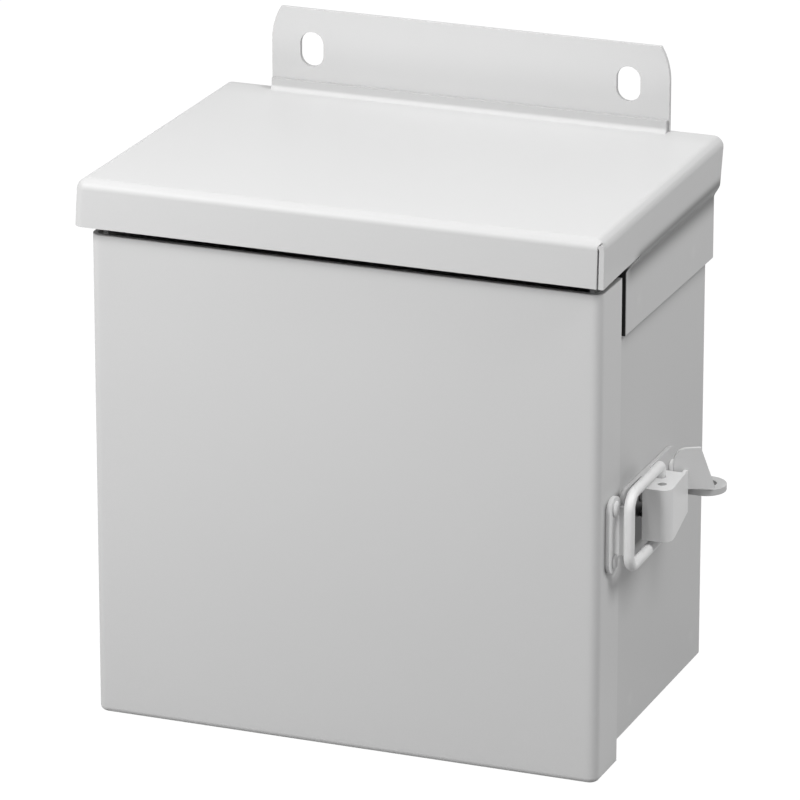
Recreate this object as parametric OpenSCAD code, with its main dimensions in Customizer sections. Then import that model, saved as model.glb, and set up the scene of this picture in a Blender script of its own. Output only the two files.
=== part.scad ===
// Wall-hung junction box of folded sheet steel, with a drip hood, a hinged cover and a draw latch.
// Millimetres, +Z up, the wall on the plane Y = 0 and the cover towards -Y.
// The origin is the point on the wall midway between the two hanging slots.

/* [Body] */
// Width of the body over its sides
body_w = 152.4; // [130:0.1:240]
// Height of the sides, from the bottom to the underside of the hood
body_h = 162.6; // [145:0.1:260]
// Depth of the sides, from the wall to their front edges
body_d = 101; // [90:0.5:160]
// Thickness of the folded sheets
sheet = 1.5; // [1:0.1:2]
// Inner radius of the sheet bends
bend_r = 1.6; // [1:0.1:2.5]
// Gap left between sheets that lie on each other
weld_gap = 0.05; // [0.02:0.01:0.1]
// Height of the turned-up edges of the bottom panel
bottom_edge_h = 10; // [6:0.5:20]

/* [Hanging flange] */
// Width of the hanging flange
flange_w = 127.6; // [115:0.1:140]
// Height of the flange above the hood
flange_rise = 26; // [22:0.5:50]
// Radius of the flange's upper corners
flange_corner = 20; // [14:0.5:30]
// Height over which the flange's sides curve in
corner_rise = 10.5; // [4:0.5:12]
// Distance between the hanging slots
slot_spacing = 101.6; // [80:0.1:105]
// Width of a hanging slot
slot_w = 7.5; // [5:0.1:9]
// End-to-end height of a hanging slot
slot_h = 10.8; // [9.5:0.1:14]
// Height of the slots' middle above the hood
slot_rise = 13.4; // [11:0.1:15]

/* [Hood] */
// How far the hood stands out past each side of the body
hood_side = 5.2; // [4.6:0.1:8]
// How far the hood stands out in front of the cover
hood_front = 5; // [3:0.1:15]
// Height of the hood's front and side lips
lip_h = 14.5; // [10:0.1:25]
// How far each side lip leans in towards its foot
lip_lean = 1; // [1:0.1:3]
// Height of the joggle between a side lip and its strip
joggle_h = 4.6; // [2:0.1:6]
// Height of the strips welded to the sides of the body
strip_h = 19; // [8:0.5:30]
// Gap between a strip and the edge of the cover
strip_gap = 5.3; // [0.6:0.1:8]
// Corner radius at the front of a strip
strip_corner = 5; // [2:0.5:7]
// Open seam at the hood's front corners
seam = 0.6; // [0.3:0.1:1.2]
// Height of the hood's rear edge, turned up in front of the flange
rear_lip = 3.6; // [3:0.1:3.9]

/* [Cover] */
// Gap between the cover's flanges and the sides of the body
cover_gap = 1.6; // [1.5:0.1:2.5]
// Gap between the cover's face and the front edges of the body
face_gap = 1.5; // [0.8:0.1:3]
// Depth of the cover's flanges
cover_d = 19; // [16:0.5:30]
// How far the cover hangs below the body
cover_drop = 4; // [3.5:0.1:8]
// Gap between the hood's front lip and the cover's top edge
cover_top_gap = 2.7; // [0.8:0.1:4]

/* [Hinge] */
// Length of the hinge
hinge_h = 112; // [60:1:125]
// Number of knuckles
knuckles = 9; // [5:2:15]
// Thickness of the hinge leaves
leaf = 1.2; // [0.8:0.1:1.5]
// Width of each leaf's flat
leaf_w = 12; // [8:0.5:13]
// Diameter of the hinge pin
hinge_pin_d = 2.4; // [2:0.1:4]
// Running clearance of a pin in its bore
run_gap = 0.05; // [0.02:0.01:0.1]
// Gap between neighbouring knuckles
knuckle_gap = 0.4; // [0.3:0.05:1]

/* [Latch] */
// Height of the latch above the middle of the cover
latch_up = 0; // [-20:0.5:20]
// Thickness of the bail's wire
wire_d = 3.2; // [2.5:0.1:3.4]
// Height of the lever's channel
lever_h = 16; // [14:0.5:20]
// Thickness of the latch's stampings
plate = 1.2; // [1:0.1:1.5]
// Clearance between the latch's moving pieces
latch_gap = 0.5; // [0.4:0.05:0.8]
// Diameter of the lever's pin
lever_pin_d = 2.6; // [2:0.1:3]
// Distance of the lever's pin from the side of the body
lever_out = 11; // [10.5:0.1:12]
// Distance of the lever's pin behind the rear edge of the cover
lever_back = 13.5; // [13:0.1:16]
// Distance from the lever's pin back to the bail's pivot
throw_back = 6; // [5.5:0.1:7]
// Distance from the lever's pin in to the bail's pivot
throw_in = 2.6; // [2.2:0.1:3]
// Height of the keeper plate
keeper_h = 23; // [22:0.5:34]
// How far the keeper's middle lies below the latch's middle
keeper_down = 1; // [0:0.1:2]
// Width of the keeper plate
keeper_w = 9.5; // [9:0.1:12]
// Distance of the keeper's rear edge from the rear edge of the cover
keeper_back = 4; // [3:0.1:5]
// Height of the keeper's hook off its plate
hook_out = 2.6; // [2.5:0.1:4.5]
// Height of the hook, along the bail's bar
hook_h = 15; // [10:0.5:16]
// How far the hook's tip turns back
hook_lip = 6; // [3:0.5:7]
// Slack between the hook and the bail's bar
hook_slack = 2.9; // [1.5:0.1:3.5]
// Gap between the bail's legs and the lever
bail_gap = 1.6; // [0.5:0.1:2]
// Diameter of the padlock eye's hole
eye_d = 6.6; // [5:0.1:7]
// Width of metal round the eye's hole
eye_rim = 3; // [1.5:0.1:3.2]
// Diameter of a rivet's shank
rivet_d = 3; // [2.4:0.1:3.4]
// Diameter of a rivet's head
rivet_head_d = 4.6; // [4:0.1:5]
// Height of a rivet's head
rivet_head_h = 0.9; // [0.6:0.1:1]

/* [Hidden] */
$fn = 48;
paint = [0.80, 0.80, 0.80];
bright = [0.72, 0.72, 0.72];
eps = 0.01;
over = 1;

// Heights
z_hood = -slot_rise;
z_top = z_hood - sheet;
z_bottom = z_top - body_h;
z_lip = z_hood - lip_h;
z_strip = z_lip - joggle_h;
z_cover_top = z_lip - cover_top_gap;
z_cover_bottom = z_bottom - cover_drop;
z_latch = (z_cover_top + z_cover_bottom) / 2 + latch_up;

// Depths, towards -Y
y_body = -body_d;
y_cover = y_body - face_gap - sheet;
y_cover_rear = y_cover + cover_d;
y_hood = y_cover - hood_front;

// Half widths to the middle of a sheet
x_side = body_w / 2 - sheet / 2;
x_cover = body_w / 2 + cover_gap + sheet / 2;
x_cover_out = x_cover + sheet / 2;

// Hinge
knuckle_r = hinge_pin_d / 2 + run_gap + leaf;
hinge_set = 2;
x_hinge = -x_cover_out - weld_gap - knuckle_r;
y_hinge = y_cover_rear + hinge_set;
z_hinge = (z_cover_bottom + z_strip - strip_h) / 2;
knuckle_h = hinge_h / knuckles;

// Latch: the base lies on the right side, the keeper on the cover's right flange
x_base = body_w / 2 + weld_gap;
x_keeper = x_cover_out + weld_gap;
lever_axis = [body_w / 2 + lever_out, y_cover_rear + lever_back];
bail_axis = lever_axis + [-throw_in, throw_back];
hook_tip = x_keeper + plate + hook_out;
y_hook = y_cover_rear - keeper_back;
z_keeper = z_latch - keeper_down;
y_bar = y_hook - plate - hook_slack - wire_d / 2;
x_bar = hook_tip + latch_gap + wire_d / 2;
bail_reach = norm([x_bar, y_bar] - bail_axis);
bail_turn = atan2(x_bar - bail_axis.x, bail_axis.y - y_bar);
bail_half = lever_h / 2 + bail_gap + wire_d / 2;
bail_corner = 4.6;
wall_in = lever_h / 2 - plate;
ear_z = wall_in - latch_gap - plate;
ear_r = 2.7;
ear_turn = 30;
ear_neck = [[-3.3, 4.9], [-6, 7.5]];
ear_heel = [0.5, 8.5];
ear_foot = [9, 18];
nose_front = 5.4;
nose_in = 4.2;
wall_lobe = 3.6;
wall_short = 3;
web_out = ear_r + latch_gap + plate;
web_corner = 3;
web_rear = 14.6;
web_lean = 1.4;
web_rise = 3;
tab_turn = 27;
tab_w = 12.4;
tab_lap = 3.8;
tab_low = 2;
tab_foot = lever_h / 2 - plate / 2;
tab_high = 14.7;
tab_corner = 4;
tab_slant = 4.4;
eye_at = lever_axis + [5.2, 24];
eye_r = eye_d / 2 + eye_rim;
eye_t = 2;
base_h = 2 * (ear_z + plate);
base_front = 7;
base_rear = 40;
base_corner = 4;
keeper_corner = 4;
rivet_edge = 3.4;
rivet_rise = keeper_h / 2 - rivet_edge;
head_taper = 0.6;
base_rivets_at = [10.5, 36];

// Points of a folded line, set off sideways by "side", with each corner rounded to radius "r"
function unit(v) = v / norm(v);
function left(d) = [-d.y, d.x];
function turned(v, a) = [v.x * cos(a) - v.y * sin(a), v.x * sin(a) + v.y * cos(a)];
function turn_angle(a, b) = atan2(a.x * b.y - a.y * b.x, a * b);
function bend(p, i, r, side, steps) =
    let (d1 = unit(p[i] - p[i - 1]),
         d2 = unit(p[i + 1] - p[i]),
         a = turn_angle(d1, d2),
         s = sign(a),
         start = p[i] - d1 * r * tan(abs(a) / 2),
         centre = start + left(d1) * r * s)
    [for (k = [0 : steps]) centre - turned(left(d1), a * k / steps) * (r * s - side)];
function set_off(p, r, side, steps) =
    let (n = len(p) - 1)
    concat([p[0] + left(unit(p[1] - p[0])) * side],
           [for (i = [1 : n - 1]) each bend(p, i, r, side, steps)],
           [p[n] + left(unit(p[n] - p[n - 1])) * side]);
function reversed(p) = [for (i = [len(p) - 1 : -1 : 0]) p[i]];
function mirrored(p) = [for (q = p) [-q.x, q.y]];

// Section of a sheet folded along the line p, which runs in the middle of the sheet
module folded(p, t = sheet, r = bend_r, steps = 6) {
    mid_r = r + t / 2;
    polygon(concat(set_off(p, mid_r, t / 2, steps), reversed(set_off(p, mid_r, -t / 2, steps))));
}

// A section drawn in X and Z, carried along Y from y0 to y1
module along_y(y0, y1) {
    translate([0, y1, 0]) rotate([90, 0, 0]) linear_extrude(y1 - y0) children();
}

// A section drawn in Y and Z, carried along X from x0 to x1
module along_x(x0, x1) {
    translate([x0, 0, 0]) rotate([90, 0, 90]) linear_extrude(x1 - x0) children();
}

// A section drawn in X and Y, carried along Z from z0 to z1
module along_z(z0, z1) {
    translate([0, 0, z0]) linear_extrude(z1 - z0) children();
}

// Rectangle with four round corners, centred
module rounded(w, h, r) {
    square([w - 2 * r, h], center = true);
    square([w, h - 2 * r], center = true);
    for (sx = [-1, 1], sy = [-1, 1]) translate([sx * (w / 2 - r), sy * (h / 2 - r)]) circle(r);
}

// Upright slot through the sheet at the wall
module hanging_slot() {
    half = (slot_h - slot_w) / 2;
    depth = sheet + 2 * over;
    for (s = [-1, 1]) translate([0, over, s * half]) rotate([90, 0, 0]) cylinder(d = slot_w, h = depth);
    translate([-slot_w / 2, -sheet - over, -half]) cube([slot_w, depth, 2 * half]);
}

// Places a rivet on each keeper hole
module at_keeper_rivets() {
    for (s = [-1, 1]) translate([0, y_hook - keeper_w / 2, z_keeper + s * rivet_rise]) children();
}

// Places a rivet on each base hole
module at_base_rivets() {
    for (b = base_rivets_at) translate([0, lever_axis.y + b, z_latch]) children();
}

// Rivet along X through everything from x0 to x1, with a head at each end
module rivet(x0, x1) {
    translate([x0, 0, 0]) rotate([0, 90, 0]) cylinder(d = rivet_d, h = x1 - x0);
    translate([x1, 0, 0]) rotate([0, 90, 0]) rivet_head();
    translate([x0, 0, 0]) rotate([0, -90, 0]) rivet_head();
}

module rivet_head() {
    cylinder(d = rivet_head_d, h = rivet_head_h / 2);
    translate([0, 0, rivet_head_h / 2])
        cylinder(d1 = rivet_head_d, d2 = rivet_head_d * head_taper, h = rivet_head_h / 2);
}

// Clearance hole for a rivet along X
module rivet_hole(x0, x1) {
    translate([x0, 0, 0]) rotate([0, 90, 0]) cylinder(d = rivet_d + 2 * run_gap, h = x1 - x0);
}

// Right half of the flange's outline, from its foot up round the corner
function flange_edge() =
    let (z_end = z_hood + flange_rise,
         centre = [flange_w / 2 - flange_corner, z_end - corner_rise],
         sweep = asin(corner_rise / flange_corner),
         steps = 8)
    concat([[flange_w / 2, z_top - over]],
           [for (k = [0 : steps]) centre + flange_corner * [cos(sweep * k / steps), sin(sweep * k / steps)]]);

// Left side, back and right side in one fold, with the hanging flange rising from the back
module body_shell() {
    side_line = [[x_side, -sheet / 2], [x_side, y_body]];
    edge = flange_edge();
    color(paint) difference() {
        union() {
            along_z(z_bottom, z_top) folded(concat(reversed(mirrored(side_line)), side_line));
            along_y(-sheet, 0) polygon(concat(edge, reversed(mirrored(edge))));
        }
        for (s = [-1, 1]) translate([s * slot_spacing / 2, 0, 0]) hanging_slot();
        at_base_rivets() rivet_hole(body_w / 2 - sheet - over, body_w / 2 + over);
    }
}

// Bottom sheet with its edges turned up inside the body
module bottom_panel() {
    x_in = body_w / 2 - sheet - weld_gap - sheet / 2;
    y_in = -sheet - weld_gap - sheet / 2;
    z_mid = z_bottom + sheet / 2;
    y_front = y_body + sheet / 2;
    z_edge = z_mid + bottom_edge_h;
    corner = bend_r + sheet;
    color(paint) {
        along_y(y_front + corner, y_in - corner)
            folded([[-x_in, z_edge], [-x_in, z_mid], [x_in, z_mid], [x_in, z_edge]]);
        along_x(-x_in + corner, x_in - corner)
            folded([[y_front, z_edge], [y_front, z_mid], [y_in, z_mid], [y_in, z_edge]]);
    }
}

// Hood: flat top, leaning side lips that step in to strips on the sides, a front lip between the
// side lips, and a rear edge turned up in front of the hanging flange
module drip_hood() {
    corner = bend_r + sheet;
    x_strip = body_w / 2 + weld_gap + sheet / 2;
    x_lip = body_w / 2 + hood_side - sheet / 2;
    x_foot = x_lip - lip_lean;
    x_inside = x_lip - sheet / 2;
    x_front = x_inside - seam;
    z_mid = z_hood - sheet / 2;
    y_mid = y_hood + sheet / 2;
    y_up = -sheet - weld_gap - sheet / 2;
    y_strip = y_cover_rear + strip_gap;
    half = [[x_lip, z_mid], [x_foot, z_lip], [x_strip, z_strip], [x_strip, z_strip - strip_h]];
    color(paint) {
        difference() {
            along_y(y_hood, 0) folded(concat(reversed(mirrored(half)), half));
            // In front of the strips only the lips are left
            translate([-body_w, y_hood - over, z_strip - strip_h - over])
                cube([2 * body_w, y_strip - y_hood + over, strip_h + joggle_h + over]);
            // Round front corner of each strip
            along_x(-body_w, body_w) difference() {
                translate([y_strip - over, z_lip - strip_corner]) square([strip_corner + over, strip_corner]);
                translate([y_strip + strip_corner, z_lip - strip_corner]) circle(strip_corner);
            }
            // Room for the front lip and for the turned-up rear edge
            translate([-x_inside, y_hood - over, z_top - over])
                cube([2 * x_inside, corner + over, sheet + 2 * over]);
            translate([-flange_w / 2 - weld_gap, y_up - corner, z_top - over])
                cube([flange_w + 2 * weld_gap, -y_up + corner + over, sheet + 2 * over]);
        }
        intersection() {
            along_x(-x_front, x_front)
                folded([[y_hood + corner + eps, z_mid], [y_mid, z_mid], [y_mid, z_lip]]);
            along_y(y_hood - over, y_hood + corner + over)
                polygon(concat(front_half(x_front), reversed(mirrored(front_half(x_front)))));
        }
        along_x(-flange_w / 2, flange_w / 2)
            folded([[y_up - corner - eps, z_mid], [y_up, z_mid], [y_up, z_hood + rear_lip]]);
    }
}

// Right edge of the front lip, which leans in beside the side lip
function front_half(x) = [[x - lip_lean, z_lip], [x, z_top], [x, z_hood]];

// Cover: face with a flange on the left, right and bottom, outside the body
module cover() {
    y_mid = y_cover + sheet / 2;
    z_mid = z_cover_bottom + sheet / 2;
    corner = bend_r + sheet;
    side_line = [[x_cover, y_mid], [x_cover, y_cover_rear]];
    color(paint) difference() {
        union() {
            difference() {
                along_z(z_cover_bottom, z_cover_top)
                    folded(concat(reversed(mirrored(side_line)), side_line));
                translate([-x_cover + corner, y_cover - over, z_cover_bottom - over])
                    cube([2 * x_cover - 2 * corner, corner, corner + over]);
            }
            along_x(-x_cover + corner - eps, x_cover - corner + eps)
                folded([[y_mid, z_cover_bottom + corner + eps], [y_mid, z_mid], [y_cover_rear, z_mid]]);
        }
        at_keeper_rivets() rivet_hole(x_cover - sheet, x_keeper);
    }
}

// Height of the lower end of a knuckle
function knuckle_z(k) = z_hinge - hinge_h / 2 + k * knuckle_h;

// Round bosses of every second knuckle, starting at "first"
module knuckle_rows(first, r, gap) {
    for (k = [first : 2 : knuckles - 1])
        translate([x_hinge, y_hinge, knuckle_z(k) + gap / 2]) cylinder(r = r, h = knuckle_h - gap);
}

// Room for the other leaf's knuckles, which start at "first"
module knuckle_room(first) {
    room = knuckle_r + knuckle_gap;
    for (k = [first : 2 : knuckles - 1])
        translate([x_hinge - room, y_hinge - room, knuckle_z(k) - knuckle_gap / 2])
            cube([2 * room, 2 * room, knuckle_h + knuckle_gap]);
}

// One leaf: its section, the knuckles that start at "first", and the bore for the pin
module hinge_leaf(first) {
    difference() {
        union() {
            difference() {
                along_z(z_hinge - hinge_h / 2 + knuckle_gap, z_hinge + hinge_h / 2 - knuckle_gap) children();
                knuckle_room(1 - first);
            }
            knuckle_rows(first, knuckle_r, knuckle_gap);
        }
        translate([x_hinge, y_hinge, z_hinge - hinge_h])
            cylinder(d = hinge_pin_d + 2 * run_gap, h = 2 * hinge_h);
    }
}

// Leaf on the body, which steps in from the knuckles to the side
module hinge_leaf_body() {
    x_out = x_hinge + knuckle_r - leaf / 2;
    x_in = -body_w / 2 - weld_gap - leaf / 2;
    step = x_in - x_out;
    y_step = y_hinge + knuckle_r + step;
    y_flat = y_step + 2 * step;
    color(paint) hinge_leaf(0)
        folded([[x_out, y_hinge], [x_out, y_step], [x_in, y_flat], [x_in, y_flat + leaf_w]], leaf, leaf);
}

// Leaf on the outside of the cover's left flange
module hinge_leaf_cover() {
    x_out = x_hinge + knuckle_r - leaf;
    color(paint) hinge_leaf(1)
        translate([x_out, y_hinge - hinge_set - leaf_w]) square([leaf, leaf_w + hinge_set]);
}

module hinge_pin() {
    color(bright) translate([x_hinge, y_hinge, z_hinge - hinge_h / 2])
        cylinder(d = hinge_pin_d, h = hinge_h);
}

// Keeper: a plate with round corners and a hook, turned back at its tip, that the bail's bar pulls on
module latch_keeper() {
    x_mid = x_keeper + plate / 2;
    y_mid = y_hook - plate / 2;
    x_lip = hook_tip - plate / 2;
    line = [[x_mid, y_hook - keeper_w / 2], [x_mid, y_mid], [x_lip, y_mid], [x_lip, y_mid + hook_lip]];
    color(paint) difference() {
        union() {
            along_x(x_keeper, x_keeper + plate)
                translate([y_hook - keeper_w / 2, z_keeper]) rounded(keeper_w, keeper_h, keeper_corner);
            along_z(z_keeper - hook_h / 2, z_keeper + hook_h / 2) folded(line, plate, plate / 4);
        }
        at_keeper_rivets() rivet_hole(x_keeper - over, x_keeper + plate + over);
    }
}

module keeper_rivets() {
    color(paint) at_keeper_rivets()
        rivet(x_cover - sheet / 2 - weld_gap, x_keeper + plate + weld_gap);
}

// Upright bore through the whole latch
module latch_bore(at, d) {
    translate([at.x, at.y, z_latch - lever_h]) cylinder(d = d, h = 2 * lever_h);
}

// Base: a plate on the side, two ears for the lever's pin, and the padlock eye
module latch_base() {
    x_face = x_base + plate;
    ear_side = ear_r * [cos(ear_turn), sin(ear_turn)];
    color(paint) difference() {
        union() {
            along_x(x_base, x_face)
                translate([lever_axis.y + (base_rear - base_front) / 2, z_latch])
                    rounded(base_front + base_rear, base_h, base_corner);
            for (s = [-1, 1]) translate([0, 0, z_latch + s * (ear_z + plate / 2)])
                along_z(-plate / 2, plate / 2) {
                    translate(lever_axis) circle(ear_r);
                    polygon([
                        lever_axis + ear_side,
                        lever_axis + [-ear_side.x, ear_side.y],
                        lever_axis + ear_neck[0],
                        lever_axis + ear_neck[1],
                        [x_base, lever_axis.y + ear_foot[0]],
                        [x_base, lever_axis.y + ear_foot[1]],
                        lever_axis + ear_heel
                    ]);
                }
            along_z(z_latch - eye_t / 2, z_latch + eye_t / 2) {
                translate(eye_at) circle(eye_r);
                translate([x_base, eye_at.y - eye_r]) square([eye_at.x - x_base, 2 * eye_r]);
            }
        }
        latch_bore(lever_axis, lever_pin_d);
        latch_bore(eye_at, eye_d);
        at_base_rivets() rivet_hole(x_base - over, x_face + over);
    }
}

module base_rivets() {
    color(paint) at_base_rivets() rivet(body_w / 2 - sheet - weld_gap, x_base + plate + weld_gap);
}

// Lever: a channel open towards the body, closed at the nose, with a finger tab at the rear
module latch_lever() {
    a = lever_axis;
    half = plate / 2;
    web_end = a + [web_out - web_lean - half, web_rear];
    line = [a + [-nose_in, -nose_front + half], a + [web_out - half, -nose_front + half], web_end];
    wall_rear = web_rear - wall_short;
    wall_out = web_out - web_lean * wall_rear / (web_rear + nose_front);
    color(paint) difference() {
        union() {
            along_z(z_latch - lever_h / 2, z_latch + lever_h / 2) folded(line, plate, web_corner - plate);
            translate([web_end.x, web_end.y, z_latch]) rotate([90, 0, tab_turn])
                linear_extrude(plate, center = true) translate([-tab_lap, 0]) tab_outline();
            for (s = [-1, 1]) translate([0, 0, z_latch + s * (wall_in + half)])
                along_z(-half, half) polygon([
                    a + [-nose_in, -nose_front],
                    a + [web_out - web_corner, -nose_front],
                    a + [web_out - plate, -nose_front + web_corner],
                    a + [wall_out - plate, wall_rear],
                    a + [-throw_in - wall_lobe, wall_rear],
                    a + [-throw_in - wall_lobe, throw_back - wall_lobe]
                ]);
        }
        // The lower edge of the web rises towards its rear end
        along_x(a.x, a.x + 2 * web_out) translate([a.y, z_latch - lever_h / 2])
            polygon([[0, 0], [web_rear + over, web_rise], [web_rear + over, -over], [0, -over]]);
        latch_bore(a, lever_pin_d + 2 * run_gap);
        latch_bore(bail_axis, wire_d + 2 * run_gap);
    }
}

// Finger tab, seen along its thickness: round at its upper front, slanted at its rear
module tab_outline() {
    translate([tab_corner, tab_high - tab_corner]) circle(tab_corner);
    polygon([
        [0, tab_foot],
        [tab_lap - plate / 2, tab_foot],
        [tab_lap - plate / 2, tab_low],
        [tab_w, tab_low],
        [tab_w - tab_slant, tab_high],
        [tab_corner, tab_high],
        [0, tab_high - tab_corner]
    ]);
}

module lever_pin() {
    color(bright) translate([lever_axis.x, lever_axis.y, z_latch - lever_h / 2])
        cylinder(d = lever_pin_d, h = lever_h);
}

// Bail: a wire loop whose ends turn in through the walls of the lever
module latch_bail() {
    straight = bail_reach - bail_corner;
    color(bright) translate([bail_axis.x, bail_axis.y, z_latch]) rotate([0, 0, bail_turn]) {
        for (s = [-1, 1]) {
            translate([0, 0, s * bail_half]) rotate([90, 0, 0]) cylinder(d = wire_d, h = straight);
            translate([0, 0, s * bail_half]) sphere(d = wire_d);
            translate([0, 0, s > 0 ? wall_in : -bail_half]) cylinder(d = wire_d, h = bail_half - wall_in);
            translate([0, -straight, s * (bail_half - bail_corner)]) rotate([0, 90, 0])
                rotate([0, 0, s > 0 ? 180 : -90])
                    rotate_extrude(angle = 90) translate([bail_corner, 0]) circle(d = wire_d);
        }
        translate([0, -bail_reach, -bail_half + bail_corner])
            cylinder(d = wire_d, h = 2 * (bail_half - bail_corner));
    }
}

body_shell();
bottom_panel();
drip_hood();
cover();
hinge_leaf_body();
hinge_leaf_cover();
hinge_pin();
latch_keeper();
keeper_rivets();
latch_base();
base_rivets();
latch_lever();
lever_pin();
latch_bail();
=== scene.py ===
# %% [markdown]
# # A sheet-steel junction box in Blender
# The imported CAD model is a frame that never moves: it fixes every size and every joint. This lesson
# puts the visible surfaces on that frame. Folded sheets are drawn as surfaces of two parameters,
# given their thickness by a modifier, and painted with a material made of nodes.

import math

import bmesh
import bpy
import numpy as np
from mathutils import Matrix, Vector


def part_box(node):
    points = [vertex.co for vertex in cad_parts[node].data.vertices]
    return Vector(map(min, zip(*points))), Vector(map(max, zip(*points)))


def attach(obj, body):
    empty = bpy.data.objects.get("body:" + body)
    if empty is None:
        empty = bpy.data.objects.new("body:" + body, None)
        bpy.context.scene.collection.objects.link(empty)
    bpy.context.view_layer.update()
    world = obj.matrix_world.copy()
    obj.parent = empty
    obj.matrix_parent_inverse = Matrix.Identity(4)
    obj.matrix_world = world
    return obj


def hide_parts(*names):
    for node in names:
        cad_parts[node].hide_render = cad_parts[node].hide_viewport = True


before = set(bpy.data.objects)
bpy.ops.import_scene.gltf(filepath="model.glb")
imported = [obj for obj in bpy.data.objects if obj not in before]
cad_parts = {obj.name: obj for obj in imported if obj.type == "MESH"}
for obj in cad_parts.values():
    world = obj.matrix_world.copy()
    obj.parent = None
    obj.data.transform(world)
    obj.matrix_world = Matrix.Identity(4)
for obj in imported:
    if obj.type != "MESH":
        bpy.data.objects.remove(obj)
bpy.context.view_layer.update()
MM = 0.001

# %% [markdown]
# ## From grids to sheets
# Every wall of the real box is a steel sheet, cut flat and folded. It could be drawn as a block with its
# inside cut away. Here its middle surface is computed as grids of points, because a fold is then a
# short formula and every size stays a number. Where two grids share an edge their points coincide, so
# they are merged by place. All lengths are in millimetres, as in the CAD part: the origin is on the
# wall, midway between the hanging slots, X runs to the right, Y into the wall and Z up.

# %% Grids of points
def surface(x, y, z):
    """One grid of points from three arrays that stretch to the same shape."""
    return np.stack(np.broadcast_arrays(x, y, z), -1).astype(float)


def spaced(*stops):
    """Parameter values that run through the stops; a stop and a count of steps alternate."""
    runs = [np.linspace(a, b, n + 1)[:-1] for a, n, b in zip(stops[:-1:2], stops[1::2], stops[2::2])]
    return np.concatenate(runs + [[stops[-1]]])


def eased(t):
    """A smooth step from zero to one: three times the square of t less twice its cube."""
    return t * t * (3 - 2 * t)


print("two steps to 1, then one to 4:", spaced(0, 2, 1, 1, 4))

# %% Grids joined by place
def grid_faces(rows, cols):
    """Corner numbers of the quads between neighbouring rows and columns of a grid."""
    index = np.arange(rows * cols).reshape(rows, cols)
    corners = [index[:-1, :-1], index[:-1, 1:], index[1:, 1:], index[1:, :-1]]
    return np.stack(corners, -1).reshape(-1, 4)


def join_grids(grids):
    """Points and faces of several grids, with points that lie on the same place merged."""
    points, quads, start = [], [], 0
    for g in grids:
        points.append(g.reshape(-1, 3))
        quads.append(grid_faces(*g.shape[:2]) + start)
        start += g.shape[0] * g.shape[1]
    points, quads = np.concatenate(points), np.concatenate(quads)
    _, first, merged = np.unique(np.round(points, 3), axis=0, return_index=True, return_inverse=True)
    quads = merged.reshape(-1)[quads]
    # A quad with a corner that repeats the one before is a triangle
    repeats = quads == np.roll(quads, 1, axis=1)
    once = repeats.sum(1) == 1
    triangles = quads[once][~repeats[once]].reshape(-1, 3)
    return points[first], quads[~repeats.any(1)].tolist() + triangles.tolist()


print("a grid of 3 by 4 points has", len(grid_faces(3, 4)), "faces")

# %% [markdown]
# ## Thickness and edges
# A cut sheet has square edges, and paint rounds them a little. The thickness could be a second grid.
# A Solidify modifier does it here, because it keeps an even wall round the folds. A Bevel modifier then
# softens the edges, and a Weighted Normal modifier keeps the flat faces flat in the shading.

# %% Meshes and modifiers
BEVEL_ANGLE = math.radians(40)


def mesh_object(name, points, faces):
    """Object at the origin with the given points in millimetres, its faces turned outward."""
    mesh = bpy.data.meshes.new(name)
    mesh.from_pydata((points * MM).tolist(), [], faces)
    mesh.validate()
    skin = bmesh.new()
    skin.from_mesh(mesh)
    bmesh.ops.recalc_face_normals(skin, faces=skin.faces)
    skin.to_mesh(mesh)
    skin.free()
    obj = bpy.data.objects.new(name, mesh)
    bpy.context.scene.collection.objects.link(obj)
    return obj


def smooth(obj):
    """Smooth shading on every face."""
    obj.data.polygons.foreach_set("use_smooth", np.ones(len(obj.data.polygons), bool))


def soften(obj, edge, thickness=0.0):
    """Thickness for a bare sheet, then rounded edges, then normals weighted by face area."""
    if thickness:
        solid = obj.modifiers.new("thickness", "SOLIDIFY")
        solid.thickness = thickness * MM
        solid.offset = 0.0
        solid.use_even_offset = True
    bevel = obj.modifiers.new("edges", "BEVEL")
    bevel.width = edge * MM
    bevel.segments = 2
    bevel.limit_method = "ANGLE"
    bevel.angle_limit = BEVEL_ANGLE
    obj.modifiers.new("normals", "WEIGHTED_NORMAL")
    smooth(obj)


def settle(obj, body, slot, *nodes):
    """The piece rides on a body and stands for its CAD nodes; the slot argument is not used."""
    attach(obj, body)
    if nodes:
        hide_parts(*nodes)
    print(obj.name, len(obj.data.polygons), "faces, rides on", body)


# %% [markdown]
# ## The hood: its lines
# The hood is one folded sheet that keeps the rain off the cover. Its flat top bends down into two side
# lips that lean in, step inward at a joggle and run on as strips along the body. It could be a block
# with bevelled edges, but the joggle and the open seam come out cleanly only from the sheet itself.
# First come the lines that its grids share, so that neighbouring grids meet point by point.

# %% Hood sizes
SHEET = 1.5
BEND = 2.35
EDGE = 0.3
Z_HOOD, Z_LIP, Z_STRIP_END = -13.4, -27.9, -51.5
X_LIP, X_STRIP = 80.65, 77.0
Y_HOOD, Y_STRIP = -109.0, -78.9
LEAN = 1.0
JOGGLE = 4.6
STRIP_CORNER = 5.0
SEAM = 0.7
FLANGE_HALF = 63.8
REAR_LIP, REAR_GAP = 3.6, 0.05
print("sheet", SHEET, "mm, bends of", BEND, "mm radius in the middle of the sheet")

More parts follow.
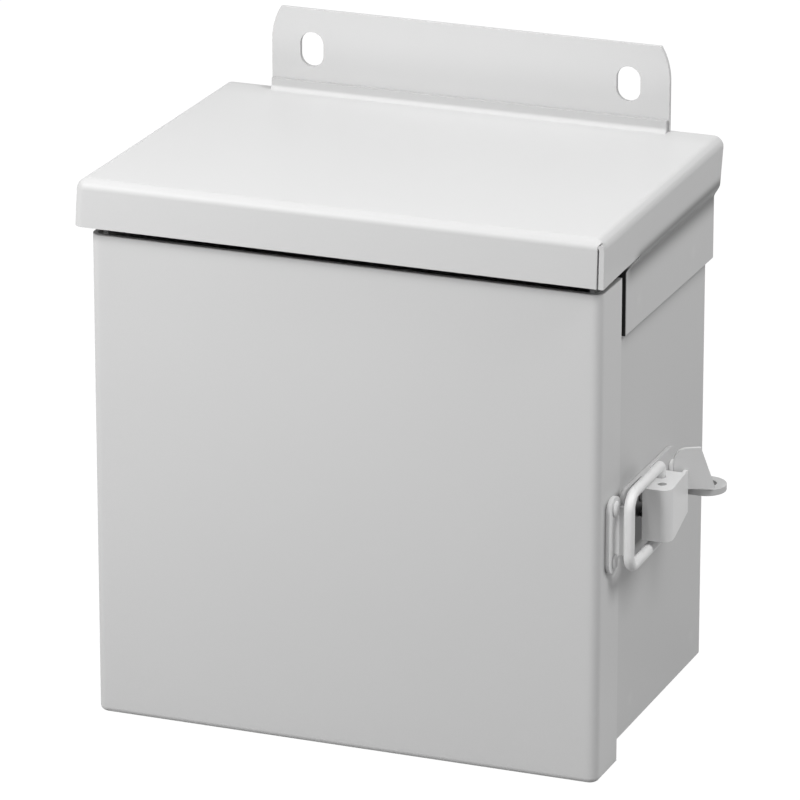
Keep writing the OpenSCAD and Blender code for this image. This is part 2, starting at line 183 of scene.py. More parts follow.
# %% Lines from front to rear and from side to side
NEAR = 1e-6
QUARTER = math.pi / 2
z_mid = Z_HOOD - SHEET / 2
lip_angle = QUARTER + math.atan(LEAN / (z_mid - Z_LIP))
x_flat = X_LIP - BEND * math.tan(lip_angle / 2)
y_flat = Y_HOOD + SHEET / 2 + BEND
y_rear = -SHEET - REAR_GAP - SHEET / 2 - BEND
y_corner = Y_STRIP + STRIP_CORNER
depth = spaced(y_flat, 18, y_corner, 44, y_rear, 3, 0.0)
across = spaced(-x_flat, 10, -FLANGE_HALF, 76, FLANGE_HALF, 10, x_flat)
print("side lips bend by", round(math.degrees(lip_angle), 1), "degrees")

# %% Profile of the side lips
# On the right the front lip ends at the second stop of the bend, and the side lip starts at the third
SEAM_STEP = 3
x_seam = X_LIP - SHEET / 2
stops = np.arcsin((np.array([x_flat, x_seam - SEAM, x_seam]) - x_flat) / BEND)
turn = spaced(stops[0], SEAM_STEP, stops[1], 1, stops[2], 7, lip_angle)
bend_x = x_flat + BEND * np.sin(turn)
bend_z = z_mid - BEND * (1 - np.cos(turn))
share = np.linspace(0, 1, 9)[1:]
lip_x = np.append(bend_x, bend_x[-1] + share * (X_LIP - LEAN - bend_x[-1]))
lip_z = np.append(bend_z, bend_z[-1] + share * (Z_LIP - bend_z[-1]))
print("profile of", len(lip_x), "points down to", Z_LIP)

# %% [markdown]
# ## The hood: top, lips and corners
# The real hood's front lip is closed and round at the left corner and leaves an open seam at the right
# one. A bevelled cube would give two equal corners. Here the left corner is an eighth of a sphere on a
# quarter of a post, and the right one keeps its slit, with a small web that ends it at the top.

# %% Hood top and rear edge
def hood_top():
    """The flat top: one grid in front of the rear bend and one on each side of the hanging flange."""
    front = surface(across[None], depth[depth <= y_rear + NEAR][:, None], z_mid)
    rear = depth[depth >= y_rear - NEAR][:, None]
    wide = np.abs(across) > FLANGE_HALF - NEAR
    return [front] + [surface(across[wide & (across * s > 0)][None], rear, z_mid) for s in (-1, 1)]


def rear_edge():
    """A quarter circle that turns up, then a straight rise, carried along the hanging flange."""
    up = np.linspace(0, QUARTER, 8)
    rise = np.append(BEND * (1 - np.cos(up)), Z_HOOD + REAR_LIP - z_mid)
    behind = y_rear + np.append(BEND * np.sin(up), BEND)
    along = across[np.abs(across) < FLANGE_HALF + NEAR]
    return [surface(along[None], behind[:, None], z_mid + rise[:, None])]


print("top and rear edge:", len(hood_top() + rear_edge()), "grids")

# %% Hood front lip
turn_front = turn * (QUARTER / lip_angle)
y_front = y_flat - BEND * np.sin(turn_front)
fall_front = BEND * (1 - np.cos(turn_front))[:, None]
narrow = np.append(np.ones(len(turn)), 1 + share * ((X_LIP - LEAN) / bend_x[-1] - 1))[:, None]


def lengthened(z):
    """Rows of heights, carried on from the last row in even steps down to the lip's edge."""
    return np.vstack([z, z[-1:] + share[:, None] * (Z_LIP - z[-1:])])


def front_lip():
    """A quarter bend and a straight fall, carried across; it narrows as the side lips lean in."""
    x = np.concatenate([across, bend_x[1:SEAM_STEP + 1]])
    y = np.append(y_front, np.full(len(share), y_front[-1]))
    z = np.append(np.full(len(across), z_mid), bend_z[1:SEAM_STEP + 1]) - fall_front
    return [surface(x[None] * narrow, y[:, None], lengthened(z))]


print("front lip grid:", front_lip()[0].shape)

# %% Hood corners
WEB_ROWS = 8


def left_corner():
    """An eighth of a sphere that runs down into a quarter of a round post."""
    around = np.linspace(0, QUARTER, 9)[None]
    tilt = turn[:, None] * (1 + (QUARTER / lip_angle - 1) * around / QUARTER)
    z = lengthened(z_mid - BEND * (1 - np.cos(tilt)))
    out = BEND * np.sin(np.vstack([tilt, np.repeat(tilt[-1:], len(share), axis=0)]))
    return [surface(-(x_flat + out * np.cos(around)) * narrow, y_flat - out * np.sin(around), z)]


def right_corner():
    """The side lip carried forward to its edge, and the web between the two lips above the seam."""
    after = SEAM_STEP + 1
    edge = surface(lip_x[None, after:], np.append(y_front, Y_HOOD)[:, None], lip_z[None, after:])
    web_z = np.hstack([bend_z[SEAM_STEP] - fall_front[:WEB_ROWS], np.full((WEB_ROWS, 1), bend_z[after])])
    return [edge, surface(bend_x[None, SEAM_STEP:after + 1], y_front[:WEB_ROWS, None], web_z)]


print("corner grids:", [g.shape for g in left_corner() + right_corner()])

# %% Hood side lips and strips
def side_lips():
    """
    The lip's profile carried from front to rear, and the strip below it. The strip steps in by a smooth
    cubic over the joggle's height. Its front edge is a quarter circle at the top, then straight.
    """
    along = depth[depth >= y_corner - NEAR]
    fall = spaced(0.0, 12, STRIP_CORNER, 12, Z_LIP - Z_STRIP_END)[:, None]
    step = eased(np.clip(fall / JOGGLE, 0, 1))
    strip_x = X_STRIP + (X_LIP - LEAN - X_STRIP) * (1 - step)
    round_in = np.clip(STRIP_CORNER - fall, 0, None)
    start = y_corner - np.sqrt(STRIP_CORNER ** 2 - round_in ** 2)
    strip_y = start + (along[None] - y_corner) / -y_corner * -start
    grids = []
    for s in (-1, 1):
        grids.append(surface(s * lip_x[None], depth[:, None], lip_z[None]))
        grids.append(surface(s * strip_x, strip_y, Z_LIP - fall))
    return grids


print("side grids:", [g.shape for g in side_lips()])

# %% [markdown]
# ## The hood: what folding leaves behind
# The real hood isn't quite true: its lips spread at the front and are drawn in at the wall, its top
# waves by a hair, and spot welds leave dimples. Sculpting could do that. Sums on the joined points are
# used here, because they are the same at each run and can be read as sizes.

# %% Hood twist and dimples
FLARE_FRONT, FLARE_REAR = 0.3, -0.8
FLARE_FOOT = (2.2, 0.9)
WAVE, WAVE_X, WAVE_Y, WAVE_END = 0.05, 23, 17, -8
WELD_RADIUS, WELD_DEPTH = 3.0, 0.1
TOP_WELDS = ((-39.2, -76.7), (-36.8, -31.2), (61.9, -32.8))


def flare(points):
    """
    Spreads the lips a little at the front and draws them in at the wall. The shift runs linearly from
    front to rear, grows with the cube of the distance from the middle and fades out down the joggle.
    Near the front corners the lips' feet also spread, on the left more than on the right.
    """
    rear = np.clip(1 - points[:, 1] / Y_HOOD, 0, 1)
    above = np.clip((points[:, 2] - Z_LIP) / JOGGLE + 1, 0, 1)
    foot = np.clip((points[:, 2] - Z_HOOD) / (Z_LIP - Z_HOOD), 0, 1)
    shift = FLARE_FRONT + (FLARE_REAR - FLARE_FRONT) * rear
    shift = shift + np.where(points[:, 0] < 0, *FLARE_FOOT) * foot * (1 - rear) ** 3
    points[:, 0] += shift * eased(above) * (points[:, 0] / X_LIP) ** 3


def wave(points):
    """Lifts and lowers the flat top by the product of a sine across and a sine along."""
    top = (np.abs(points[:, 2] - z_mid) < 1e-3) & (points[:, 1] < WAVE_END)
    points[top, 2] += WAVE * np.sin(points[top, 0] / WAVE_X + 1) * np.sin(points[top, 1] / WAVE_Y)


def weld_dimple(points, centre):
    """Lowers points round a spot weld by a bell curve of their distance from its centre."""
    distance = np.linalg.norm(points - np.array(centre), axis=1)
    points[:, 2] -= WELD_DEPTH * np.exp(-(distance / WELD_RADIUS) ** 2)


# %% Hood sheet
hood_grids = hood_top() + rear_edge() + front_lip() + left_corner() + right_corner() + side_lips()
points, faces = join_grids(hood_grids)
flare(points)
wave(points)
for spot in TOP_WELDS:
    weld_dimple(points, (*spot, z_mid))
hood = mesh_object("hood_sheet", points, faces)
soften(hood, EDGE, SHEET)
settle(hood, "box", "grey_paint", "drip_hood")

# %% [markdown]
# ## The cover
# The cover is a flat face whose left, right and bottom edges bend back. A bevelled plate would do for
# the face alone. Its section in plan is a U, so that section is carried down the height: flange,
# quarter bend, face, quarter bend, flange. The lower edge rolls in along the whole U. The face bulges
# by a quarter of a millimetre, as a stamped sheet does, which bends its reflections.

# %% Cover sizes
X_COVER, Y_COVER = 78.55, -104.0
Y_COVER_REAR, Y_COVER_LATCH = -85.0, -86.4
Z_COVER_TOP, Z_COVER_BOTTOM = -31.3, -181.5
BEND_LOW = 1.1
FLANGE_STRETCH = 8.0
BULGE, BULGE_HALF_WIDTH, BULGE_HEIGHT = 0.25, 76, 152
print("cover face", 2 * X_COVER, "by", round(Z_COVER_TOP - Z_COVER_BOTTOM, 1), "mm")

# %% Cover surface
def cover_grids():
    """Grids of the cover's middle surface: the U-shaped wall, its rolled lower edge and the bottom flange."""
    y_face, z_low = Y_COVER + SHEET / 2, Z_COVER_BOTTOM + SHEET / 2
    x_bend, y_bend, y_low, z_bend = X_COVER - BEND, y_face + BEND, y_face + BEND_LOW, z_low + BEND_LOW
    x_cut = x_bend - SHEET / 2
    quarter = np.linspace(0, QUARTER, 9)
    side_x = np.append(x_bend + BEND * np.sin(quarter), np.full(8, X_COVER))
    side_y = np.append(y_bend - BEND * np.cos(quarter), np.linspace(y_bend, Y_COVER_REAR, 9)[1:])
    face_x = spaced(-x_bend, 1, -x_cut, 76, x_cut, 1, x_bend)
    plan_x = np.concatenate([-side_x[:0:-1], face_x, side_x[1:]])
    plan_y = np.concatenate([side_y[:0:-1], np.full(len(face_x), y_face), side_y[1:]])
    # Outward direction of the wall in plan, along which the lower edge rolls in
    side_out = np.append(quarter, np.full(8, QUARTER))
    out = np.concatenate([-side_out[:0:-1], np.zeros(len(face_x)), side_out[1:]])
    roll = BEND_LOW * (1 - np.cos(quarter))[:, None]
    low_z = (z_bend - BEND_LOW * np.sin(quarter))[:, None]
    high = np.linspace(z_bend, Z_COVER_TOP, 77)[:, None]
    middle = face_x[np.abs(face_x) <= x_cut + NEAR]
    under_y = np.linspace(y_low, Y_COVER_REAR, 9)[:, None]
    return [surface(plan_x[None], plan_y[None], high),
            surface(plan_x - roll * np.sin(out), plan_y + roll * np.cos(out), low_z),
            surface(middle[None], under_y, z_low)]


print("cover grids:", [g.shape for g in cover_grids()])

# %% Cover sheet
def trim_latch_flange(points):
    """Draws the last stretch of the right flange forward, more towards its end, to the depth it has there."""
    begin = Y_COVER_LATCH - FLANGE_STRETCH
    side = (points[:, 0] > X_COVER - 0.1) & (points[:, 1] > begin)
    part = (points[side, 1] - begin) / (Y_COVER_REAR - begin)
    points[side, 1] -= (Y_COVER_REAR - Y_COVER_LATCH) * part


def bulge(points):
    """Pushes the face out by a cosine across times a sine up its height."""
    face = np.abs(points[:, 1] - (Y_COVER + SHEET / 2)) < 1e-3
    over = np.cos(points[face, 0] / BULGE_HALF_WIDTH * QUARTER)
    up = np.sin((points[face, 2] - Z_COVER_BOTTOM) / BULGE_HEIGHT * math.pi)
    points[face, 1] -= BULGE * np.clip(over * up, 0, 1)


points, faces = join_grids(cover_grids())
trim_latch_flange(points)
bulge(points)
cover = mesh_object("cover_sheet", points, faces)
soften(cover, EDGE, SHEET)
settle(cover, "cover", "grey_paint", "cover")

# %% [markdown]
# ## The bail
# The bail is the bent wire that the lever pulls over the keeper's hook. A Blender curve with a round
# bevel would do. Here a circle is carried along a path of lines and arcs, so that the path has the
# CAD part's own numbers: out of the lever's wall, round a tight bend, along the leg, round the front
# corner, across the bar, and back the same way on the other side.

# %% Wire helpers
def rounded_path(corners, radii, steps=10):
    """
    Points of a plane path with each inner corner replaced by an arc. The arc starts at the radius
    times the tangent of half the turn before the corner.
    """
    path = [corners[0]]
    for before, here, after, radius in zip(corners, corners[1:], corners[2:], radii):
        a = (here - before) / np.linalg.norm(here - before)
        b = (after - here) / np.linalg.norm(after - here)
        angle = math.atan2(a[0] * b[1] - a[1] * b[0], a @ b)
        normal = np.array([-a[1], a[0]]) * np.sign(angle)
        start = here - a * radius * math.tan(abs(angle) / 2)
        t = np.linspace(0, abs(angle), steps)[:, None]
        path.extend(start + radius * (np.sin(t) * a + (1 - np.cos(t)) * normal))
    return np.array(path + [corners[-1]])


def wire(path, side, radius, around=20):
    """A round section carried along a path in a plane; side is the plane's normal."""
    along = np.gradient(path, axis=0)
    along /= np.linalg.norm(along, axis=1, keepdims=True)
    outward = np.cross(along, side)
    t = np.linspace(0, 2 * math.pi, around + 1)[None, :, None]
    return path[:, None] + radius * (np.cos(t) * outward[:, None] + np.sin(t) * side)


def end_disc(centre, ring):
    """A flat end of a wire: its last ring drawn in to its centre in even steps."""
    return centre + (ring - centre) * np.linspace(1, 0, 4)[:, None, None]


# %% Bail wire
Z_LATCH = -105.65
BAIL_AXIS, BAIL_BAR = np.array([84.6, -65.5]), np.array([85.25, -94.7])
BAIL_HALF, BAIL_CORNER, BAIL_FOOT = 11.2, 4.6, 1.7
WALL_IN = 6.8
WIRE_R = 1.6
UP = np.array([0, 0, 1.0])
reach = np.linalg.norm(BAIL_BAR - BAIL_AXIS)
ahead = np.append((BAIL_BAR - BAIL_AXIS) / reach, 0)
corners = np.array([[0, WALL_IN], [0, BAIL_HALF], [reach, BAIL_HALF],
                    [reach, -BAIL_HALF], [0, -BAIL_HALF], [0, -WALL_IN]])
flat = rounded_path(corners, [BAIL_FOOT, BAIL_CORNER, BAIL_CORNER, BAIL_FOOT])
path = np.append(BAIL_AXIS, Z_LATCH) + flat[:, :1] * ahead + flat[:, 1:] * UP
tube = wire(path, np.cross(ahead, UP), WIRE_R)
points, faces = join_grids([tube] + [end_disc(path[i], tube[i]) for i in (0, -1)])
bail = mesh_object("bail_wire", points, faces)
smooth(bail)
settle(bail, "bail", "grey_paint", "latch_bail")

# %% [markdown]
# ## Softened copies
# The body, the bottom, the hinge and the rest of the latch have the right shape in CAD, so drawing them
# again would only risk their sizes. Each is copied, its loose triangles are merged into one skin, and
# its edges are rounded a little, so that they catch the light. The body's copy also gets the slot that
# shows dark between the cover's flange and the strip.

# %% Slot cutter
def box_grids(low, high):
    """The six sides of a box between two corners."""
    ends = np.array([low, high], float)
    sides = []
    for axis in range(3):
        a, b = [k for k in range(3) if k != axis]
        for end in ends[:, axis]:
            side = np.full((2, 2, 3), end)
            side[..., a], side[..., b] = np.meshgrid(ends[:, a], ends[:, b], indexing="ij")
            sides.append(side)
    return sides


def with_slot(mesh, slot):
    """The mesh with a box-shaped slot cut through it; the slot is its low and high corner in millimetres."""
    work = bpy.data.objects.new("work", mesh)
    bpy.context.scene.collection.objects.link(work)
    cutter = mesh_object("cutter", *join_grids(box_grids(*slot)))
    cut = work.modifiers.new("slot", "BOOLEAN")
    cut.operation = "DIFFERENCE"
    cut.solver = "EXACT"
    cut.object = cutter
    result = bpy.data.meshes.new_from_object(work.evaluated_get(bpy.context.evaluated_depsgraph_get()))
    for used in (cutter, work):
        bpy.data.objects.remove(used)
    return result


# %% Merged copy
MERGE_DISTANCE = 2e-6
FLAT_ANGLE = math.radians(1)


def softened(node, body, slot, edge, opening=None):
    """A merged copy of a CAD node with rounded edges, which stands for the node."""
    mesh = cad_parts[node].data.copy()
    skin = bmesh.new()
    skin.from_mesh(mesh)
    bmesh.ops.remove_doubles(skin, verts=skin.verts, dist=MERGE_DISTANCE)
    bmesh.ops.dissolve_limit(skin, angle_limit=FLAT_ANGLE, verts=skin.verts, edges=skin.edges)
    skin.to_mesh(mesh)
    skin.free()
    mesh.materials.clear()
    if opening:
        mesh = with_slot(mesh, opening)
    obj = bpy.data.objects.new(node + "_soft", mesh)
    bpy.context.scene.collection.objects.link(obj)
    soften(obj, edge)
    settle(obj, body, slot, node)
    return obj


# %% Softened CAD pieces
X_SIDE, CUT_HALF, CUT_MARGIN = 75.5, 1.6, 0.6
SIDE_SLOT = ((X_SIDE - CUT_HALF, Y_COVER_LATCH - CUT_MARGIN, Z_STRIP_END + 0.3),
             (X_SIDE + CUT_HALF, Y_STRIP + CUT_MARGIN, Z_HOOD - 4))
SOFT = {
    "body_shell": ("box", "grey_paint", EDGE, SIDE_SLOT),
    "bottom_panel": ("box", "grey_paint", EDGE),
    "hinge_leaf_body": ("box", "grey_paint", 0.15),
    "hinge_leaf_cover": ("cover", "grey_paint", 0.15),
    "hinge_pin": ("box", "bare_steel", 0.2),
    "latch_keeper": ("cover", "grey_paint", 0.25),
    "keeper_rivets": ("cover", "grey_paint", 0.15),
    "latch_base": ("box", "grey_paint", 0.25),
    "base_rivets": ("box", "grey_paint", 0.15),
    "latch_lever": ("lever", "grey_paint", 0.25),
    "lever_pin": ("box", "bare_steel", 0.2),
}
soft = {node: softened(node, *rest) for node, rest in SOFT.items()}

# %% [markdown]
# ## Shader arithmetic
# A material is a small calculation for every point of a surface. It could be wired node by node. The
# class below wraps one output of a shader node instead, so that the sums can be written as sums.

# %% Shader helper
class Wire:
    """One output of a shader node; sums and products of wires add Math nodes to the same tree."""

    def __init__(self, tree, socket):
        self.tree, self.socket = tree, socket

    def node(self, kind, *values, out=0, sockets=None, **settings):
        """A node of any kind with its settings, fed by values or wires in order or by socket name."""
        made = self.tree.nodes.new(kind)
        for key, value in settings.items():
            setattr(made, key, value)
        for key, value in {**dict(enumerate(values)), **(sockets or {})}.items():
            if isinstance(value, Wire):
                self.tree.links.new(value.socket, made.inputs[key])
            elif value is not None:
                made.inputs[key].default_value = value
        return Wire(self.tree, made.outputs[out])

    def math(self, operation, *others):
        return self.node("ShaderNodeMath", self, *others, operation=operation)

    def __add__(self, other):
        return self.math("ADD", other)

    def __sub__(self, other):
        return self.math("SUBTRACT", other)

    def __rsub__(self, other):
        return self * -1.0 + other

    def __mul__(self, other):
        return self.math("MULTIPLY", other)

    __radd__, __rmul__ = __add__, __mul__

    def clamped(self, low, high):
        return self.math("MAXIMUM", low).math("MINIMUM", high)

    def axes(self):
        """The three coordinates of a place."""
        return [self.node("ShaderNodeSeparateXYZ", self, out=k) for k in range(3)]

    def noise(self, scale, detail=2.0):
        """Noise about zero at so many features per metre."""
        return self.node("ShaderNodeTexNoise", self, None, scale, detail) - 0.5

    def fading(self):
        """A bell curve: e to the power of minus the square."""
        return (self * self * -1.0).math("EXPONENT")


def grey(value):
    """A neutral colour."""
    return (value, value, value, 1.0)


# %% Material helpers
def new_material(name):
    """A new material, its shader and a wire of the object's own coordinates."""
    material = bpy.data.materials.new(name)
    material.use_nodes = True
    tree = material.node_tree
    place = tree.nodes.new("ShaderNodeTexCoord")
    return material, tree.nodes["Principled BSDF"], Wire(tree, place.outputs["Object"])


def link(wire, shader, name):
    """Feeds a shader's socket from a wire."""
    wire.tree.links.new(wire.socket, shader.inputs[name])


def colour(value):
    """A grey wire as a colour."""
    return value.node("ShaderNodeCombineColor", value, value, value)


def bump(height, strength, distance):
    """A bumped normal from a height wire."""
    sockets = {"Strength": strength, "Distance": distance, "Height": height}
    return height.node("ShaderNodeBump", sockets=sockets)


# %% [markdown]
# ## Painted shade and light
# On the real box shade falls in the creases, in the gaps and under the lips, which draws dark lines there,
# and one flange catches more light. These are painted into the coat's colour as painted shade and
# painted light. A painted image could show it, but the places are known as sizes, so each mark is a
# formula of the point's own height, depth and side. All its lengths are in millimetres.

# %% Masks of painted shade and light
ANYWHERE = -1000.0
FRONT_SLOPE, SIDE_SLOPE = 150, 2000
RIGHT_SIDE = 70.0


def painted_shade_line(place, high, low, above, below, front, side):
    """
    Painted shade along a crease: one between two heights, fading out over the lengths above and below them,
    and nothing in front of a depth or nearer to the middle than a side distance.
    """
    x, y, z = place.axes()
    over = (z - high * MM).math("MAXIMUM", 0.0) * (1 / (above * MM))
    under = (z - low * MM).math("MINIMUM", 0.0) * (1 / (below * MM))
    behind = ((y - front * MM) * FRONT_SLOPE).clamped(0, 1)
    outer = ((x.math("ABSOLUTE") - side * MM) * SIDE_SLOPE).clamped(0, 1)
    return (over + under).fading() * behind * outer


def painted_shade_and_light_patch(place, low, high, fade, side=RIGHT_SIDE):
    """
    Mask for a patch of painted shade in a gap, and for painted light when the strength is below zero: one
    inside a rectangle of depth and height given by two corners, falling off as a bell curve of the distance
    beyond it, and nothing left of a side distance.
    """
    x, y, z = place.axes()
    mask = x.math("GREATER_THAN", side * MM)
    for axis, a, b in zip((y, z), low, high):
        outside = (axis - b * MM).math("MAXIMUM", 0.0) - (axis - a * MM).math("MINIMUM", 0.0)
        mask = mask * (outside * (1 / (fade * MM))).fading()
    return mask


def weld_mark(place, centre, radius):
    """A bell curve of the distance from a point: one at the centre, near zero beyond the radius."""
    centre = [c * MM for c in centre]
    away = place.node("ShaderNodeVectorMath", place, centre, out=1, operation="DISTANCE")
    return (away * (1.6 / (radius * MM))).fading()


# %% Where painted shade and light lie
# A painted shade line is its strength, upper and lower height, fades above and below, front limit and side
# limit
# Painted shade in the crease under the hood's side lip, where its contact shadow falls
JOGGLE_PAINTED_SHADE = (0.72, -28.2, -32.2, 1.8, 3.6, -81.0, 70.0)
# Painted shade on the hood's rear lip, in the crease below the hanging flange
REAR_LIP_PAINTED_SHADE = (0.22, -9.5, -11.8, 1.0, 1.2, -10.5, ANYWHERE)
# Painted shadow on the body side under the strip's lower edge
STRIP_EDGE_PAINTED_SHADOW = (0.32, -51.2, -52.2, 1.0, 3.0, -80.0, 75.5)
# Painted shade in a band at the base of the hanging flange, above the hood
FLANGE_BASE_PAINTED_SHADE = (0.13, -6.0, -13.4, 8.0, 3.0, -8.0, ANYWHERE)
# Painted shadow along the cover's top edge, under the hood's front lip
COVER_TOP_PAINTED_SHADOW = (0.6, -30.0, -31.2, 1.0, 0.3, ANYWHERE, ANYWHERE)
# A painted patch is its strength, low corner, high corner and fade, with an optional side limit; a strength
# below zero is a painted lighter place
keeper_lo, keeper_hi = [np.array(corner)[1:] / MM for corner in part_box("latch_keeper")]
# Painted shade round the keeper, in the gap between it and the cover's flange
KEEPER_PAINTED_SHADE = (0.92, keeper_lo + (1.2, 2.6), keeper_hi + (0.8, -2.6), 2.0)
# Painted light on the cover's right flange: a lighter band where more light falls
FLANGE_PAINTED_LIGHT = (-0.07, (Y_COVER + 2.5, Z_COVER_BOTTOM), (Y_COVER_REAR, Z_COVER_TOP), 0.6)
# Painted shade on the strip's front end, beside the slot's deep shadow
STRIP_END_PAINTED_SHADE = (0.92, (Y_STRIP - 2, Z_STRIP_END - 2), (Y_STRIP + 0.1, Z_LIP - 3), 0.5)
# Painted shade on the hood's front bend that tones down its highlight
FRONT_BEND_PAINTED_SHADE = (0.07, (Y_HOOD + 0.4, Z_HOOD - 1.8), (Y_HOOD + 1.8, Z_HOOD - 0.4), 0.9, ANYWHERE)
# Painted shade round the slot in the body's side, where deep shadow lies
SLOT_PAINTED_SHADE = (0.92, (Y_COVER_LATCH - 3, Z_STRIP_END), (Y_STRIP + 1, Z_LIP), 0.8)
# Painted shade on the body's side behind the bail and the lever
LATCH_PAINTED_SHADE = (0.97, (-72.0, Z_LATCH - 15.0), (-58.5, Z_LATCH - 2.0), 1.6)
STRIP_WELDS = [(77.8, -66.5, -44.0), (77.8, -18.0, -44.0)]
SIDE_WELDS = [(76.2, -65.5, -169.0), (76.2, -10.0, -169.0)]
print("keeper from", keeper_lo.round(1), "to", keeper_hi.round(1))

# %% [markdown]
# ## Powder coat and plated steel
# The coat is a light neutral grey with a soft gloss. A plain colour would look like plastic. Close up
# the real coat has the fine ripple of sprayed powder, faint clouds of thicker and thinner coat, and
# shallow marks where spot welds lie under it, so noise at three scales drives colour, gloss and bump.
# The pins are zinc-plated steel, brushed along their length.

# %% Powder coat
CLOUDS, RIPPLE, GRAIN = 18, 620, 2600
MARK_RADIUS, RIM_RADIUS = 3.2, 4.5
COAT_ROUGHNESS, COAT_SPECULAR = 0.43, 0.25


def powder_coat(name, tone, welds=(), shade_lines=(), shade_and_light_patches=()):
    """Light grey coat with clouds and grain; welds are centres of marks; shade lines and patches darken it as
    painted shade, and a patch of negative strength lightens it as painted light.
    """
    material, shader, place = new_material(name)
    clouds, ripple, grain = place.noise(CLOUDS, 3), place.noise(RIPPLE, 1), place.noise(GRAIN, 1)
    value = clouds * 0.02 + grain * 0.016 + tone
    # Painted shade along creases and in gaps, and painted light where a patch's strength is below zero, scale
    # the colour
    for strength, *line in shade_lines:
        value = value * (1.0 - painted_shade_line(place, *line) * strength)
    for strength, *patch in shade_and_light_patches:
        value = value * (1.0 - painted_shade_and_light_patch(place, *patch) * strength)
    height = ripple + grain * 0.25
    for centre in welds:
        mark = weld_mark(place, centre, MARK_RADIUS)
        height = height + weld_mark(place, centre, RIM_RADIUS) * 3.0 - mark * 8.0
        value = value + mark * 0.025
    link(colour(value.clamped(0, 1)), shader, "Base Color")
    link((clouds * 0.08 + grain * 0.05 + COAT_ROUGHNESS).clamped(0.2, 0.7), shader, "Roughness")
    link(bump(height, 0.25, 0.00004), shader, "Normal")
    shader.inputs["Specular IOR Level"].default_value = COAT_SPECULAR
    return material


# %% Plated steel
STREAKS = (900, 900, 40)
STEEL_TONE, STEEL_ROUGHNESS = 0.52, 0.32


def plated_steel(name):
    """Streaks of noise stretched along the height, over faint clouds."""
    material, shader, place = new_material(name)
    streaks = place.node("ShaderNodeVectorMath", place, STREAKS, operation="MULTIPLY").noise(1, 2)
    clouds = place.noise(120, 2)
    link(colour((streaks * 0.12 + clouds * 0.08 + STEEL_TONE).clamped(0, 1)), shader, "Base Color")
    link((streaks * 0.15 + STEEL_ROUGHNESS).clamped(0.15, 0.6), shader, "Roughness")
    link(bump(streaks, 0.2, 0.00003), shader, "Normal")
    shader.inputs["Metallic"].default_value = 1.0
    return material


# %% Materials on the pieces
PAINT, LATCH_PAINT = 0.60, 0.80
sheet_coat = powder_coat("powder_coat", PAINT)
# The cover, hood and body coats carry the painted shade and painted light listed above
cover_coat = powder_coat("powder_coat_cover", PAINT, (), [COVER_TOP_PAINTED_SHADOW], [FLANGE_PAINTED_LIGHT, KEEPER_PAINTED_SHADE])
hood_coat = powder_coat("powder_coat_hood", PAINT, STRIP_WELDS, [JOGGLE_PAINTED_SHADE, REAR_LIP_PAINTED_SHADE],
                        [STRIP_END_PAINTED_SHADE, FRONT_BEND_PAINTED_SHADE])
body_coat = powder_coat("powder_coat_body", PAINT, SIDE_WELDS, [STRIP_EDGE_PAINTED_SHADOW, FLANGE_BASE_PAINTED_SHADE],
                        [SLOT_PAINTED_SHADE, LATCH_PAINTED_SHADE])
latch_coat = powder_coat("powder_coat_latch", LATCH_PAINT)
steel = plated_steel("plated_steel")
FINISH = {
    "body_shell": body_coat, "latch_base": body_coat,
    "latch_keeper": latch_coat, "keeper_rivets": latch_coat,
    "latch_lever": latch_coat, "base_rivets": latch_coat,
    "hinge_pin": steel, "lever_pin": steel,
}
for obj, material in ((hood, hood_coat), (cover, cover_coat), (bail, latch_coat)):
    obj.data.materials.append(material)
for node, obj in soft.items():
    obj.data.materials.append(FINISH.get(node, sheet_coat))
print("materials:", [m.name for m in bpy.data.materials if m.users])

# %% [markdown]
# ## The camera
# The view could be set by eye. It was fitted instead, by least squares on corners of the box, so that
# the render can be laid over the photograph. The camera stands about two metres away, a little to the
# right and above.

# %% Camera
AZIMUTH, ELEVATION = math.radians(21.37), math.radians(19.26)
DISTANCE, FOCAL = 1898.0, 287.0
target = Vector((-1.58, -54.0, -89.13)) * MM
level = math.cos(ELEVATION)
back = Vector((math.sin(AZIMUTH) * level, -math.cos(AZIMUTH) * level, math.sin(ELEVATION)))
camera = bpy.data.objects.new("camera", bpy.data.cameras.new("camera"))
bpy.context.scene.collection.objects.link(camera)
camera.location = target + back * DISTANCE * MM
camera.rotation_mode = "QUATERNION"
camera.rotation_quaternion = (-back).to_track_quat("-Z", "Y")
camera.data.lens = FOCAL
camera.data.sensor_width = 36.0
camera.data.clip_start = 0.05
camera.data.clip_end = 50.0
bpy.context.scene.camera = camera
print("camera at", [round(c, 3) for c in camera.location])

# %% [markdown]
# ## Floor, background and light
# The box stands on white. Strong lamps could bleach a grey floor, but they would bleach the paint as
# well. So floor and background are white only to rays that see them directly, and the floor keeps part
# of the shadow. Four soft lamps stand for the studio's: their powers were solved so that the tones of
# the front, the top and the side come out as they are in the photograph.

# %% Floor and world
FLOOR_SIZE, FLOOR_DROP = 6.0, 0.1
FLOOR_TONE, FLOOR_ROUGHNESS, FLOOR_GLOW, FLOOR_SHADE = 0.22, 0.9, 1.25, 0.2


def seen_directly(tree):
    """One for rays that come from the camera, a mirror-like surface or a clear one, else zero."""
    rays = tree.nodes.new("ShaderNodeLightPath")
    wires = [Wire(tree, rays.outputs[n]) for n in ("Is Camera Ray", "Is Glossy Ray", "Is Transmission Ray")]
    return (wires[0] + wires[1] + wires[2]).clamped(0, 1)


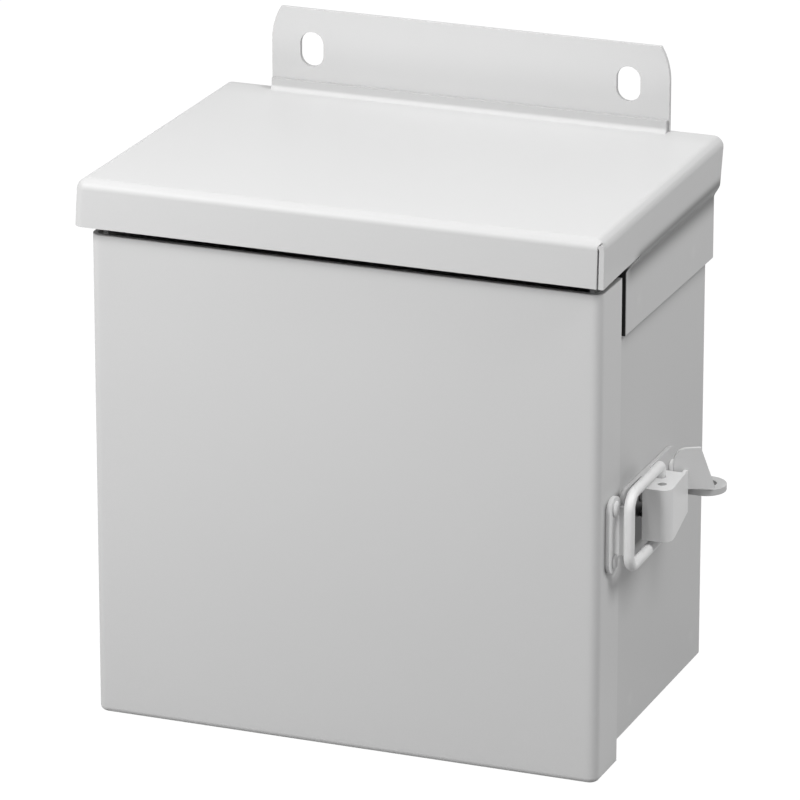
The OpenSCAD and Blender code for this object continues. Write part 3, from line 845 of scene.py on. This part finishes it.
def white_floor():
    """A white floor under the box, which keeps only a part of each shadow."""
    x = np.linspace(-FLOOR_SIZE / 2, FLOOR_SIZE / 2, 3) / MM
    floor = mesh_object("floor", *join_grids([surface(x[None], x[:, None], Z_COVER_BOTTOM - FLOOR_DROP)]))
    material, shader, _ = new_material("floor_white")
    tree = material.node_tree
    shader.inputs["Base Color"].default_value = grey(FLOOR_TONE)
    shader.inputs["Roughness"].default_value = FLOOR_ROUGHNESS
    seen = seen_directly(tree) * (1 - FLOOR_SHADE)
    glow = seen.node("ShaderNodeEmission", grey(1.0), FLOOR_GLOW)
    mixed = seen.node("ShaderNodeMixShader", seen, Wire(tree, shader.outputs[0]), glow)
    link(mixed, tree.nodes["Material Output"], "Surface")
    floor.data.materials.append(material)


def white_world(ambient):
    """A white background whose light on the object has the given strength."""
    world = bpy.data.worlds.new("white")
    bpy.context.scene.world = world
    world.use_nodes = True
    sky = world.node_tree.nodes["Background"]
    sky.inputs["Color"].default_value = grey(1.0)
    link(seen_directly(world.node_tree) * (1 - ambient) + ambient, sky, "Strength")


white_floor()
white_world(0.27)

# %% Lamps
# A lamp is its place, the point it faces and its size, all in metres, and its power in watts
LAMPS = {
    "key": ((-0.36, -0.56, 0.34), (-0.02, -0.08, -0.04), 0.30, 3.15),
    "front": ((-0.14, -0.66, 0.35), (-0.03, -0.08, -0.03), 0.30, 1.95),
    "top": ((0.05, 0.02, 0.46), (0.05, -0.04, -0.05), 0.22, 0.38),
    "fill": ((0.62, -0.12, 0.60), (0.08, -0.05, -0.09), 0.30, 4.1),
}


def softbox(name, place, aim, size, power):
    """A square area light at a place that faces a point."""
    lamp = bpy.data.objects.new(name, bpy.data.lights.new(name, "AREA"))
    bpy.context.scene.collection.objects.link(lamp)
    lamp.data.size = size
    lamp.data.energy = power
    lamp.location = place
    lamp.rotation_mode = "QUATERNION"
    lamp.rotation_quaternion = (Vector(aim) - Vector(place)).to_track_quat("-Z", "Y")


for name, lamp in LAMPS.items():
    softbox(name, *lamp)
bpy.context.scene.view_settings.view_transform = "Standard"
